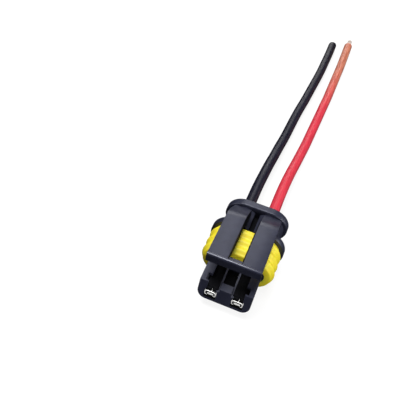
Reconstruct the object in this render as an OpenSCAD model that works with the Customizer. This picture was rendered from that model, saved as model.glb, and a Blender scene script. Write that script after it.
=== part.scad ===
// Sealed two-way connector pigtail: a plug with a latch, an interface seal and two wires.
// The nose points along -Y, the wires leave along +Y, and the plug lies on z = 0.

/* [Contacts] */
// Distance between the two contact centre lines
pitch = 6; // [5.4:0.1:6.6]
// Width of a contact's box, outside
contact_w = 2.6; // [2.2:0.1:2.8]
// Height of a contact's box, outside
contact_h = 1.7; // [1.4:0.1:2]
// Thickness of the contact's strip
contact_wall = 0.25; // [0.2:0.05:0.35]
// Length of the contact's box
contact_box_len = 8; // [7:0.5:9]
// How far the contact mouths lie behind the nose's front face
contact_recess = 0.4; // [0.2:0.1:0.7]

/* [Nose] */
// Length of the nose in front of the seal
nose_len = 7.6; // [6.6:0.1:9]
// Width of the nose
nose_w = 11.7; // [11:0.1:12.4]
// Depth of the nose below the contact centre line
nose_below = 2.35; // [2:0.05:2.8]
// Height of the side rails above the contact centre line
rail_top = 2.05; // [1.6:0.05:2.6]
// Radius of the nose's lower corners
nose_corner = 1.9; // [1:0.1:2]
// Thickness of the nose's side walls
side_wall = 1.1; // [0.8:0.05:1.2]
// How far the rails' rear stretch reaches further in
rail_ledge = 0.9; // [0.5:0.05:1]
// Thickness of that ledge
rail_ledge_t = 0.8; // [0.5:0.05:1]
// Distance from the nose's front face to the ledge
rail_ledge_y = 3.3; // [2.5:0.1:4.5]
// Thickness of the front wall
front_wall = 0.8; // [0.5:0.05:1.1]
// Thickness of the two inner walls beside the contacts
inner_wall = 0.4; // [0.3:0.05:0.6]
// Thickness of the locking finger over each contact
finger_t = 0.7; // [0.5:0.05:0.8]
// Width of a locking finger
finger_w = 2.3; // [1.6:0.1:2.5]
// Height of the key block between the inner walls, above the contact centre line
key_top = 1; // [0.5:0.1:1.4]
// Length of the key block
key_len = 2.2; // [1.5:0.1:3]

/* [Interface seal] */
// Width of the seal over its ridges
seal_w = 16.6; // [16:0.1:17.4]
// Height of the seal over its ridges
seal_h = 10.2; // [9.8:0.1:10.8]
// Length of the seal
seal_len = 7.4; // [6.5:0.1:8]
// Thickness of the seal from its core to its ridges
seal_t = 2; // [1.6:0.05:2.1]
// Number of ridges round the seal
seal_ridges = 3; // [2:1:4]
// Height of a ridge
seal_ridge = 0.55; // [0.3:0.05:0.7]

/* [Rear body] */
// How far the backstop behind the seal stands out past the ridges
backstop_over = 0.3; // [0.1:0.05:0.6]
// Thickness of the backstop
backstop_t = 1.5; // [1.2:0.1:2.2]
// Outside radius of the two rear tubes
tube_r = 3.8; // [3.6:0.05:4]
// Length of the tubes between backstop and flange
tube_len = 6.05; // [5.5:0.05:7]
// How far the rear flange stands out past the tubes
flange_over = 0.8; // [0.5:0.05:1.1]
// Thickness of the rear flange
flange_t = 1.95; // [1.5:0.05:2.5]
// Radius of the wire-seal bores
bore_r = 2.7; // [2.4:0.05:2.8]
// Depth of the wire-seal bores
bore_depth = 7.5; // [6.5:0.1:8]
// Radius of the passages in front of those bores
passage_r = 1.95; // [1.75:0.05:2.1]

/* [Latch] */
// Width of the latch
latch_w = 11.7; // [11.2:0.1:12.4]
// Width of the window between the latch's arms
window_w = 3.2; // [2.6:0.1:3.8]
// Thickness of the arms
latch_t = 1.1; // [0.9:0.05:1.3]
// Free space between the seal's ridges and the latch, for the mating shroud
latch_gap = 1.1; // [0.9:0.05:1.4]
// Distance from the nose's front face to the latch's front bar
latch_front = 2.8; // [2:0.1:3.6]
// Thickness of the front bar
bar_t = 2.1; // [1.5:0.1:2.4]
// Height of the front bar's lip above the arms
lip_h = 0.35; // [0.15:0.05:0.6]
// Fall of the arms towards the rear, in degrees
arm_slope = 4; // [2:0.5:6]
// Distance from the bend in the arms to the tubes' front
bend_ahead = 0.5; // [0.2:0.1:1]
// Radius of the bend where the arms turn down
bend_r = 7; // [5:0.5:8]
// Height of the arms' root above the tubes
root_rise = 0.35; // [0.2:0.05:0.6]
// Distance from the flange to the line where the arms flex
flex_y = 2.05; // [1.8:0.05:2.4]
// Play round the rounded ends of the arms
flex_play = 0.12; // [0.08:0.02:0.2]

/* [Wires] */
// Diameter of a wire over its jacket
wire_d = 2.7; // [2.4:0.05:2.8]
// Diameter of the bare tip on the red wire
tip_d = 1.5; // [1.2:0.1:1.8]
// Length of that tip
tip_len = 3.5; // [2:0.5:6]
// Length of a wire seal
wire_seal_len = 5.4; // [4.5:0.1:6]
// Depth of a wire seal behind the rear face
wire_seal_recess = 1; // [0.5:0.1:1.2]

/* [Hidden] */
$fn = 64;

black_plastic = "#2b2c33";
yellow_silicone = "#f2d822";
tin = "#d5d6d8";
// A cut that runs past its face
past = 1;
// Play between a seal and what it sits on or in
seal_play = 0.02;
// Play round a contact in its cavity
contact_play = 0.15;
// Width of the lips over a contact's mouth, beside the slot above it
mouth_lip_w = 0.3;
// Space between the front wall and the tip of a locking finger
finger_gap = 0.15;

// Stations along the plug, from the nose's front face at 0
seal_y = nose_len;
backstop_y = seal_y + seal_len;
tube_y = backstop_y + backstop_t;
flange_y = tube_y + tube_len;
plug_len = flange_y + flange_t;
bore_y = plug_len - bore_depth;

// Heights from the contact centre line
contact_x = pitch / 2;
flange_half_h = tube_r + flange_over;
flange_half_w = contact_x + flange_half_h;
backstop_half_h = seal_h / 2 + backstop_over;
backstop_half_w = seal_w / 2 + backstop_over;
// The backstop's underside is level with the flange's, so the plug lies flat
seal_rise = backstop_half_h - flange_half_h;
seal_top = seal_rise + seal_h / 2;
core_half_w = seal_w / 2 - seal_t;
core_half_h = seal_h / 2 - seal_t;
floor_top = -contact_h / 2 - contact_play / 2;
cavity_w = contact_w + 2 * contact_play;
cavity_top = contact_h / 2 + contact_play;
// The slot above a contact's mouth is narrower than the mouth
slot_w = cavity_w - 2 * mouth_lip_w;
inner_wall_x = contact_x - cavity_w / 2 - inner_wall / 2;

// Latch, seen from the side as [y, z]
arm_x = window_w / 2;
latch_half_w = latch_w / 2;
latch_under = seal_top + latch_gap;
bend_y = tube_y - bend_ahead;
bend_z = latch_under + latch_t / 2 - (bend_y - backstop_y) * tan(arm_slope);
root_z = tube_r + root_rise - latch_t / 2;
root_slope = atan2(bend_z - root_z, flange_y - bend_y);
bend_turn = root_slope - arm_slope;
bend_steps = 8;
bend_reach = bend_r * tan(bend_turn / 2);
bend_start = [bend_y, bend_z] - bend_reach * heading(arm_slope);
bend_centre = bend_start - bend_r * outward(arm_slope);
flex = [flange_y - flex_y, root_z + flex_y * tan(root_slope)];
arm_front = [latch_front, bend_z + (bend_y - latch_front) * tan(arm_slope)];
lip_top = arm_front[1] + latch_t / 2 + lip_h;
// Depth of the arms' roots below the flex line, well inside the tubes
root_depth = 3;
// Space between the arms and the backstop under them
backstop_clear = 0.9;
backstop_top = latch_under - backstop_clear - (tube_y - backstop_y) * tan(root_slope) / 2;

// Part of a ridge's or rib's pitch that it fills
ridge_share = 0.76;
rib_share = 0.55;
// Ribs of a wire seal
rib_count = 3;
rib_h = 0.35;

// Contact stations
wire_r = wire_d / 2;
box_y = contact_recess;
box_end = box_y + contact_box_len;
box_corner = 0.4;
neck_len = 1.9;
crimp_y = box_end + neck_len;
crimp_len = 3.4;
crimp_r = 1;
jacket_grip_y = crimp_y + crimp_len;
jacket_grip_len = 2.2;
jacket_grip_r = wire_r + seal_play + contact_wall;
strip_w = 1.6;
// Overlap of the strip and the tongue's root with the box
strip_lap = 1;
// Depth of the spring tongue's tip inside the box, and its drop from the box's roof
tongue_in = 1;
tongue_drop = 0.5;

// Routes of the wires, as [x, y, z] from the part's own origin
wire_sides = 8;
black_route = [[-3, 1.5, 4.6], [-3, 7, 4.6], [-3, 12, 4.6], [-3, 17, 4.6], [-3, 22, 4.5],
    [-2.9, 27, 4], [-2.8, 32, 3.2], [-2.6, 37, 2.4], [-2.4, 42, 1.8], [-2.1, 47, 1.5],
    [-1.9, 52, 1.4], [-1.7, 57, 1.4], [-1.4, 62, 1.4], [-1, 67, 1.4], [-0.7, 72, 1.4],
    [-0.4, 77, 1.4], [-0.1, 82, 1.4], [0.1, 87, 1.4], [0.2, 92, 1.4], [0.3, 98, 1.4],
    [0.3, 104.4, 1.4]];
red_route = [[3, 1.5, 4.6], [3, 7, 4.6], [3, 12, 4.6], [3, 17, 4.6], [3, 22, 4.5],
    [3.1, 27, 4], [3.3, 32, 3.2], [3.6, 37, 2.4], [3.9, 42, 1.8], [4.2, 47, 1.5],
    [4.4, 52, 1.4], [4.6, 57, 1.4], [4.8, 62, 1.4], [5, 67, 1.4], [5.2, 72, 1.4],
    [5.3, 77, 1.4], [5.4, 82, 1.4], [5.5, 87, 1.4], [5.6, 92, 1.4], [5.6, 99, 1.4],
    [5.6, 106.8, 1.4]];

// Direction of an arm that falls by an angle towards the rear, and its upward normal
function heading(fall) = [cos(fall), -sin(fall)];
function outward(fall) = [sin(fall), cos(fall)];
function unit(v) = v / norm(v);

// Points of the bent arm's side, at a distance outside its centre line
function arm_side(off) = concat(
    [arm_front + off * outward(arm_slope)],
    [for (i = [0 : bend_steps]) let (fall = arm_slope + bend_turn * i / bend_steps)
        bend_centre + (bend_r + off) * outward(fall)],
    [flex + off * outward(root_slope)]);

function reversed(list) = [for (i = [len(list) - 1 : -1 : 0]) list[i]];

// One ring of a wire's tube at a point of its route
function wire_ring(route, i) =
    let (last = len(route) - 1)
    let (along = unit(route[min(i + 1, last)] - route[max(i - 1, 0)]))
    let (side = unit(cross(along, [0, 0, 1])))
    let (up = cross(side, along))
    [for (k = [0 : wire_sides - 1]) let (turn = 360 * k / wire_sides)
        route[i] + wire_r * (cos(turn) * side + sin(turn) * up)];

// Puts a shape drawn from the nose's front face and the contact line into the part's frame
module in_plug() {
    translate([0, -plug_len / 2, flange_half_h]) children();
}

// Extrudes an [x, z] outline from one station to another
module along_plug(from, to) {
    translate([0, to, 0]) rotate([90, 0, 0]) linear_extrude(to - from) children();
}

// Extrudes a [y, z] outline from one side position to another
module across_plug(from, to) {
    translate([from, 0, 0]) rotate([90, 0, 90]) linear_extrude(to - from) children();
}

// Runs a round shape along the plug, from a station
module round_along(from, len, r) {
    translate([0, from, 0]) rotate([-90, 0, 0]) cylinder(h = len, r = r);
}

module both_sides() {
    children();
    mirror([1, 0, 0]) children();
}

module oval(half_w, half_h) {
    square([2 * (half_w - half_h), 2 * half_h], center = true);
    for (side = [-1, 1]) translate([side * (half_w - half_h), 0]) circle(half_h);
}

module nose_outline() {
    flat_half_w = nose_w / 2 - nose_corner;
    translate([-nose_w / 2, nose_corner - nose_below])
        square([nose_w, rail_top + nose_below - nose_corner]);
    translate([-flat_half_w, -nose_below]) square([2 * flat_half_w, nose_corner]);
    for (side = [-1, 1]) translate([side * flat_half_w, nose_corner - nose_below]) circle(nose_corner);
}

// Open space over one contact, between its inner wall and the side wall
module nose_well() {
    well_x = contact_x - cavity_w / 2;
    well_end = nose_w / 2 - side_wall;
    translate([well_x, front_wall, floor_top])
        cube([well_end - well_x, nose_len - front_wall, rail_top - floor_top + past]);
}

// Mouth of one contact in the front wall, with a narrower slot above it
module nose_mouth() {
    translate([contact_x - cavity_w / 2, -past, floor_top])
        cube([cavity_w, front_wall + 2 * past, cavity_top - floor_top]);
    translate([contact_x - slot_w / 2, -past, floor_top])
        cube([slot_w, front_wall + 2 * past, rail_top - floor_top + past]);
}

// Space between the inner walls, with the key block left at its front
module key_space() {
    half_w = inner_wall_x - inner_wall / 2;
    translate([-half_w, -past, key_top])
        cube([2 * half_w, nose_len + past, rail_top - key_top + past]);
    translate([-half_w, key_len, floor_top])
        cube([2 * half_w, nose_len - key_len, rail_top - floor_top + past]);
}

module rail_ledges() {
    inner = nose_w / 2 - side_wall - rail_ledge;
    both_sides() translate([inner, rail_ledge_y, rail_top - rail_ledge_t])
        cube([rail_ledge + side_wall / 2, nose_len - rail_ledge_y, rail_ledge_t]);
}

// Springy finger over one contact, rooted at the seal's core
module locking_finger() {
    front = front_wall + finger_gap;
    translate([contact_x - finger_w / 2, front, cavity_top])
        cube([finger_w, nose_len - front + past, finger_t]);
}

module nose() {
    difference() {
        along_plug(0, nose_len) nose_outline();
        both_sides() nose_well();
        both_sides() nose_mouth();
        key_space();
    }
    rail_ledges();
    both_sides() locking_finger();
}

// Backstop behind the seal, lowered under the arms and open between them
module backstop() {
    difference() {
        translate([0, 0, seal_rise]) along_plug(backstop_y, tube_y)
            oval(backstop_half_w, backstop_half_h);
        translate([-latch_half_w, backstop_y - past, backstop_top])
            cube([latch_w, backstop_t + 2 * past, backstop_half_h]);
        translate([-arm_x, backstop_y - past, tube_r])
            cube([window_w, backstop_t + 2 * past, backstop_half_h]);
    }
}

// Roots of the arms on the tubes, each with a round seat for the end of its arm
module latch_roots() {
    top = flex + latch_t / 2 * outward(root_slope);
    foot = flex - root_depth * outward(root_slope);
    both_sides() difference() {
        across_plug(arm_x, latch_half_w)
            polygon([top, [flange_y, root_z + latch_t / 2], [flange_y, 0], [foot[0], 0], foot]);
        across_plug(arm_x - past, latch_half_w + past) translate(flex) circle(latch_t / 2 + flex_play);
    }
}

module contact_passage() {
    translate([contact_x - cavity_w / 2, seal_y - past, floor_top])
        cube([cavity_w, box_end - seal_y + 2 * past, cavity_top - floor_top]);
    translate([contact_x, 0, 0]) {
        round_along(box_end, bore_y - box_end + past, passage_r);
        round_along(bore_y, bore_depth + past, bore_r);
    }
}

module housing() {
    color(black_plastic) in_plug() difference() {
        union() {
            nose();
            translate([0, 0, seal_rise]) along_plug(seal_y, backstop_y)
                oval(core_half_w, core_half_h);
            backstop();
            both_sides() translate([contact_x, 0, 0])
                round_along(backstop_y, tube_len + backstop_t, tube_r);
            latch_roots();
            along_plug(flange_y, plug_len) oval(flange_half_w, flange_half_h);
        }
        both_sides() contact_passage();
    }
}

// Front bar of the latch from the side: a hooked bar with a round lip on its front edge
module bar_outline() {
    lip_r = (lip_h + latch_t) / 3;
    translate([latch_front, latch_under]) square([bar_t, arm_front[1] - latch_under]);
    translate([latch_front, latch_under]) square([2 * lip_r, lip_top - lip_r - latch_under]);
    translate([latch_front + lip_r, lip_top - lip_r]) circle(lip_r);
}

module latch() {
    color(black_plastic) in_plug() {
        both_sides() across_plug(arm_x, latch_half_w) {
            polygon(concat(arm_side(latch_t / 2), reversed(arm_side(-latch_t / 2))));
            translate(flex) circle(latch_t / 2);
        }
        across_plug(-latch_half_w, latch_half_w) bar_outline();
    }
}

// Half of the seal's section from its axis out, with round ridges, as [radius, y]
module seal_section(out) {
    ridge_pitch = seal_len / seal_ridges;
    ridge_r = ridge_share * ridge_pitch / 2;
    square([out - seal_ridge, seal_len]);
    for (i = [0 : seal_ridges - 1]) translate([out - ridge_r, ridge_pitch * (i + 0.5)]) circle(ridge_r);
}

module interface_seal() {
    end_x = (seal_w - seal_h) / 2;
    color(yellow_silicone) in_plug() translate([0, 0, seal_rise]) difference() {
        union() {
            for (side = [-1, 1]) translate([side * end_x, seal_y, 0]) rotate([-90, 0, 0])
                rotate_extrude() seal_section(seal_h / 2);
            for (flip = [0, 1]) mirror([0, 0, flip]) translate([-end_x, seal_y, 0])
                rotate([90, 0, 90]) linear_extrude(2 * end_x)
                    mirror([1, -1]) seal_section(seal_h / 2);
        }
        along_plug(seal_y - past, backstop_y + past)
            oval(core_half_w + seal_play, core_half_h + seal_play);
    }
}

module rounded_rect(w, h, r) {
    square([w - 2 * r, h], center = true);
    square([w, h - 2 * r], center = true);
    for (sx = [-1, 1], sz = [-1, 1]) translate([sx * (w / 2 - r), sz * (h / 2 - r)]) circle(r);
}

// One folded contact: a box with a spring tongue, a neck, a barrel on the strands and a jacket grip
module contact(side) {
    inside_w = contact_w - 2 * contact_wall;
    inside_h = contact_h - 2 * contact_wall;
    tongue_z = inside_h / 2 - tongue_drop;
    color(tin) in_plug() translate([side * contact_x, 0, 0]) {
        difference() {
            along_plug(box_y, box_end) rounded_rect(contact_w, contact_h, box_corner);
            along_plug(box_y - past, box_end + past) rounded_rect(inside_w, inside_h, box_corner / 2);
        }
        translate([-strip_w / 2, box_y + tongue_in, tongue_z])
            cube([strip_w, contact_box_len - tongue_in, contact_wall]);
        translate([-strip_w / 2, box_end - strip_lap, tongue_z])
            cube([strip_w, strip_lap, tongue_drop + contact_wall / 2]);
        translate([-strip_w / 2, box_end - strip_lap, -contact_h / 2])
            cube([strip_w, strip_lap + neck_len + crimp_len / 2, contact_wall]);
        round_along(crimp_y, crimp_len, crimp_r);
        difference() {
            round_along(jacket_grip_y - contact_wall, jacket_grip_len + contact_wall, jacket_grip_r);
            round_along(jacket_grip_y, jacket_grip_len + past, jacket_grip_r - contact_wall);
        }
    }
}

module contact_left() { contact(-1); }

module contact_right() { contact(1); }

// Ring seal round one wire in its bore
module wire_seal(side) {
    from = plug_len - wire_seal_recess - wire_seal_len;
    rib_pitch = wire_seal_len / rib_count;
    rib_len = rib_share * rib_pitch;
    color(yellow_silicone) in_plug() translate([side * contact_x, 0, 0]) difference() {
        union() {
            round_along(from, wire_seal_len, bore_r - rib_h);
            for (i = [0 : rib_count - 1])
                round_along(from + rib_pitch * (i + 0.5) - rib_len / 2, rib_len, bore_r - seal_play);
        }
        round_along(from - past, wire_seal_len + 2 * past, wire_r + seal_play);
    }
}

module wire_seal_left() { wire_seal(-1); }

module wire_seal_right() { wire_seal(1); }

// Tube with flat sides along a route
module wire_tube(route) {
    rings = len(route);
    last = (rings - 1) * wire_sides;
    polyhedron(
        points = [for (i = [0 : rings - 1]) each wire_ring(route, i)],
        faces = concat(
            [[for (k = [0 : wire_sides - 1]) k]],
            [for (i = [0 : rings - 2], k = [0 : wire_sides - 1])
                let (next = (k + 1) % wire_sides, here = i * wire_sides, there = here + wire_sides)
                [here + k, there + k, there + next, here + next]],
            [[for (k = [wire_sides - 1 : -1 : 0]) last + k]]));
}

module wire_black() { color("#33343c") wire_tube(black_route); }

module wire_red() { color("#d9505f") wire_tube(red_route); }

module wire_tip() {
    end = red_route[len(red_route) - 1];
    color(tin) translate([end[0], 0, end[2]]) round_along(end[1], tip_len, tip_d / 2);
}

housing();
latch();
interface_seal();
contact_left();
contact_right();
wire_seal_left();
wire_seal_right();
wire_black();
wire_red();
wire_tip();
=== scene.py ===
"""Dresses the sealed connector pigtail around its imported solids.

The plug's pieces are drawn in millimetres, with y measured back from the nose's front face and z up
from the contacts' centre line. They are then settled into the frame, in metres. The wires are drawn
in the frame itself.
"""

import logging
import math
from dataclasses import dataclass
from enum import Enum
from typing import Callable, Iterable, Sequence

import bpy
from mathutils import Matrix, Quaternion, Vector

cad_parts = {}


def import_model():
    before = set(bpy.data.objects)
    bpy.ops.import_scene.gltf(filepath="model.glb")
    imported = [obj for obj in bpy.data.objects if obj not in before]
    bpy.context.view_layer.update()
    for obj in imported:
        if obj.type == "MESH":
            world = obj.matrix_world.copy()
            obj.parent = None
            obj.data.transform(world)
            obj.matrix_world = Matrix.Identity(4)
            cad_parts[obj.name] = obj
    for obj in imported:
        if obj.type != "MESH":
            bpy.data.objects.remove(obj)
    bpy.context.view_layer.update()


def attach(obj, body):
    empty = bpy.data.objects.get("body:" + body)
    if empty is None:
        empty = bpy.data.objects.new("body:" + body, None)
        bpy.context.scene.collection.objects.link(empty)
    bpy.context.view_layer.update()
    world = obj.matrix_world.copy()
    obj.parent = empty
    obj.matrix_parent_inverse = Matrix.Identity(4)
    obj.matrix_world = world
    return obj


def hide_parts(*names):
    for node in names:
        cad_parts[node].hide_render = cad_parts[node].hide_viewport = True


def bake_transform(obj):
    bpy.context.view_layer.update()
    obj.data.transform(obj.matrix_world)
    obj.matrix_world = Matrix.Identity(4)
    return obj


LOG = logging.getLogger("pigtail")

MM = 0.001
# Lengths below this count as nothing, in the plug's millimetres
SAME_PLACE = 1e-3
# Part of a face's normal along an axis from which the face looks that way, or leans that way
FACING = 0.9
LEANING = 0.5
# Values that a noise pattern mostly keeps between
NOISE_ENDS = (0.3, 0.7)

Colour = tuple[float, float, float]
Point = tuple[float, float, float]
Span = tuple[float, float]
Object = bpy.types.Object
Material = bpy.types.Material
Socket = bpy.types.NodeSocket
Setting = Socket | float | tuple[float, ...]
PointTest = Callable[[Vector], bool]
PairTest = Callable[[Vector, Vector], bool]


class Body(Enum):
    """The bodies of the frame."""

    HOUSING = "housing"
    LATCH = "latch"


class Slot(Enum):
    """The record's material slots."""

    PLASTIC = "black_plastic"
    SILICONE = "yellow_silicone"
    TIN = "tinned_metal"
    BLACK_JACKET = "black_jacket"
    RED_JACKET = "red_jacket"


class Join(Enum):
    """How a tool solid acts on a piece."""

    ADD = "UNION"
    CUT = "DIFFERENCE"


class Side(Enum):
    """The plug's two sides, by the sign of x."""

    LEFT = -1
    RIGHT = 1

    @property
    def word(self) -> str:
        """The side as it stands in the names of pieces."""
        return self.name.lower()


# Work on one mesh


def clear_selection() -> None:
    """Deselects every object."""
    bpy.ops.object.select_all(action="DESELECT")


def take_up(obj: Object) -> None:
    """Makes an object the only selected one, and the active one."""
    clear_selection()
    obj.select_set(True)
    bpy.context.view_layer.objects.active = obj


def apply_place(obj: Object) -> None:
    """Moves an object's place, turn and scale into its mesh."""
    take_up(obj)
    bpy.ops.object.transform_apply(location=True, rotation=True, scale=True)


def enter_edit() -> None:
    """Goes to edit mode."""
    bpy.ops.object.mode_set(mode="EDIT")


def leave_edit() -> None:
    """Goes back to object mode."""
    bpy.ops.object.mode_set(mode="OBJECT")


def start_pick(obj: Object, kind: str) -> None:
    """Clears the selection inside a mesh and sets what is picked.

    Args:
        obj: The mesh object.
        kind: VERT, EDGE or FACE.
    """
    take_up(obj)
    enter_edit()
    bpy.ops.mesh.select_mode(type=kind)
    bpy.ops.mesh.select_all(action="DESELECT")
    leave_edit()


def pick_points(obj: Object, test: PointTest) -> None:
    """Enters edit mode with the points selected whose place passes a test."""
    start_pick(obj, "VERT")
    for point in obj.data.vertices:
        point.select = test(point.co)
    enter_edit()


def pick_edges(obj: Object, test: PairTest) -> None:
    """Enters edit mode with the edges selected whose two ends pass a test."""
    start_pick(obj, "EDGE")
    points = obj.data.vertices
    for edge in obj.data.edges:
        edge.select = test(points[edge.vertices[0]].co, points[edge.vertices[1]].co)
    enter_edit()


def pick_faces(obj: Object, test: PairTest) -> None:
    """Enters edit mode with the faces selected whose centre and normal pass a test."""
    start_pick(obj, "FACE")
    for face in obj.data.polygons:
        face.select = test(face.center, face.normal)
    enter_edit()


def everywhere(*_: Vector) -> bool:
    """The test that every edge and face passes."""
    return True


def move_points(obj: Object, test: PointTest, x: float = 0, y: float = 0, z: float = 0) -> None:
    """Moves the points whose place passes a test."""
    pick_points(obj, test)
    bpy.ops.transform.translate(value=(x, y, z))
    leave_edit()


def extrude(x: float, y: float, z: float) -> None:
    """Extrudes what is selected by a distance."""
    bpy.ops.mesh.extrude_region_move(TRANSFORM_OT_translate={"value": (x, y, z)})


def round_edges(obj: Object, test: PairTest, radius: float, steps: int = 3) -> None:
    """Rounds the edges that pass a test.

    Args:
        obj: The mesh object.
        test: Gets an edge's two ends.
        radius: Width of the rounding.
        steps: Number of faces across it.
    """
    pick_edges(obj, test)
    bpy.ops.mesh.bevel(offset=radius, segments=steps, affect="EDGES")
    leave_edit()


def slice_off(obj: Object, place: Sequence[float], outward: Sequence[float]) -> None:
    """Cuts off what lies beyond a plane and closes the cut.

    Args:
        obj: The mesh object.
        place: A point of the plane.
        outward: Direction from the plane to what goes.
    """
    pick_faces(obj, everywhere)
    normal = Vector(outward).normalized()
    bpy.ops.mesh.bisect(plane_co=place, plane_no=normal, use_fill=True, clear_outer=True)
    leave_edit()


def clean(obj: Object) -> None:
    """Merges doubled points and turns every face outwards."""
    take_up(obj)
    enter_edit()
    bpy.ops.mesh.select_all(action="SELECT")
    bpy.ops.mesh.remove_doubles(threshold=SAME_PLACE)
    bpy.ops.mesh.normals_make_consistent(inside=False)
    leave_edit()


def run_modifier(obj: Object, kind: str, **settings: object) -> None:
    """Adds a modifier to an object and applies it.

    Args:
        obj: The mesh object.
        kind: The modifier's type.
        **settings: Its properties.
    """
    modifier = obj.modifiers.new(kind.lower(), kind)
    for name, value in settings.items():
        setattr(modifier, name, value)
    take_up(obj)
    bpy.ops.object.modifier_apply(modifier=modifier.name)


def combine(obj: Object, tools: Iterable[Object], how: Join) -> None:
    """Adds tool solids to a piece or cuts them out of it, and removes the tools."""
    for tool in tools:
        run_modifier(obj, "BOOLEAN", object=tool, operation=how.value, solver="EXACT")
        bpy.data.objects.remove(tool, do_unlink=True)


def mirror(obj: Object) -> None:
    """Adds the mirror image on the plug's other side."""
    run_modifier(obj, "MIRROR", use_mirror_merge=False)


def soften(obj: Object, radius: float, steps: int = 2, over_deg: float = 40) -> None:
    """Rounds every edge that is sharper than an angle.

    Args:
        obj: The mesh object.
        radius: Width of the rounding.
        steps: Number of faces across it.
        over_deg: Edges that turn by more than this are rounded.
    """
    angle = math.radians(over_deg)
    run_modifier(obj, "BEVEL", width=radius, segments=steps, limit_method="ANGLE", angle_limit=angle)


def soften_where(
    obj: Object, test: PointTest, radius: float, steps: int = 2, over_deg: float = 40
) -> None:
    """Rounds the edges that are sharper than an angle and whose two ends pass a test.

    Args:
        obj: The mesh object.
        test: Gets the place of an edge's end.
        radius: Width of the rounding.
        steps: Number of faces across it.
        over_deg: Edges that turn by more than this are rounded.
    """
    start_pick(obj, "EDGE")
    enter_edit()
    bpy.ops.mesh.edges_select_sharp(sharpness=math.radians(over_deg))
    leave_edit()
    points = obj.data.vertices
    for edge in obj.data.edges:
        edge.select = edge.select and all(test(points[end].co) for end in edge.vertices)
    enter_edit()
    bpy.ops.mesh.bevel(offset=radius, segments=steps, affect="EDGES", clamp_overlap=True)
    leave_edit()


def about(half: float, middle: float = 0) -> Span:
    """Returns the span that reaches equally far to both sides of a middle."""
    return (middle - half, middle + half)


def take_new(name: str) -> Object:
    """Names the primitive that was just added, moves its place into its mesh and returns it."""
    obj = bpy.context.object
    obj.name = name
    apply_place(obj)
    return obj


def add_block(name: str, x: Span, y: Span, z: Span) -> Object:
    """Adds a box.

    Args:
        name: Name of the object.
        x: Its two sides, in either order.
        y: Stations of its front and rear.
        z: Heights of its underside and top.

    Returns:
        The box.
    """
    low, high = (Vector(corner) for corner in zip(sorted(x), y, z))
    size = high - low
    clear_selection()
    bpy.ops.mesh.primitive_cube_add(size=1, location=low + size / 2, scale=size)
    return take_new(name)


def add_rod(name: str, radius: float, x: float, span: Span, sides: int = 64) -> Object:
    """Adds a round rod that runs along the plug, at the contacts' height.

    Args:
        name: Name of the object.
        radius: Radius of the rod.
        x: Side position of its axis.
        span: Stations of its two ends.
        sides: Number of faces round it.

    Returns:
        The rod.
    """
    clear_selection()
    bpy.ops.mesh.primitive_cylinder_add(
        vertices=sides,
        radius=radius,
        depth=span[1] - span[0],
        location=(x, sum(span) / 2, 0),
        rotation=(math.pi / 2, 0, 0),
    )
    return take_new(name)


def add_disc(name: str, radius: float, place: Point, sides: int, filled: bool = True) -> Object:
    """Adds a flat disc, or only its outline, that looks along the plug.

    Args:
        name: Name of the object.
        radius: Radius of the disc.
        place: Its middle.
        sides: Number of edges round it.
        filled: Whether it has a face.

    Returns:
        The disc.
    """
    clear_selection()
    bpy.ops.mesh.primitive_circle_add(
        vertices=sides,
        radius=radius,
        fill_type="NGON" if filled else "NOTHING",
        location=place,
        rotation=(math.pi / 2, 0, 0),
    )
    return take_new(name)


def pull_apart(obj: Object, spread: float) -> None:
    """Moves a mesh's two halves out sideways, which makes an oval of a circle."""
    for side in Side:
        move_points(obj, lambda co, way=side.value: co.x * way > SAME_PLACE, x=side.value * spread)


def add_oval(
    name: str, half_w: float, half_h: float, span: Span, z: float = 0, sides: int = 96
) -> Object:
    """Adds a slab with an oval outline, across the plug.

    Args:
        name: Name of the object.
        half_w: Half of the oval's width.
        half_h: Half of its height, and the radius of its ends.
        span: Stations of the slab's two faces.
        z: Height of its middle.
        sides: Number of faces round it.

    Returns:
        The slab.
    """
    obj = add_disc(name, half_h, (0, span[0], z), sides)
    pull_apart(obj, half_w - half_h)
    pick_faces(obj, everywhere)
    extrude(0, span[1] - span[0], 0)
    leave_edit()
    clean(obj)
    return obj


# Finishes


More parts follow.
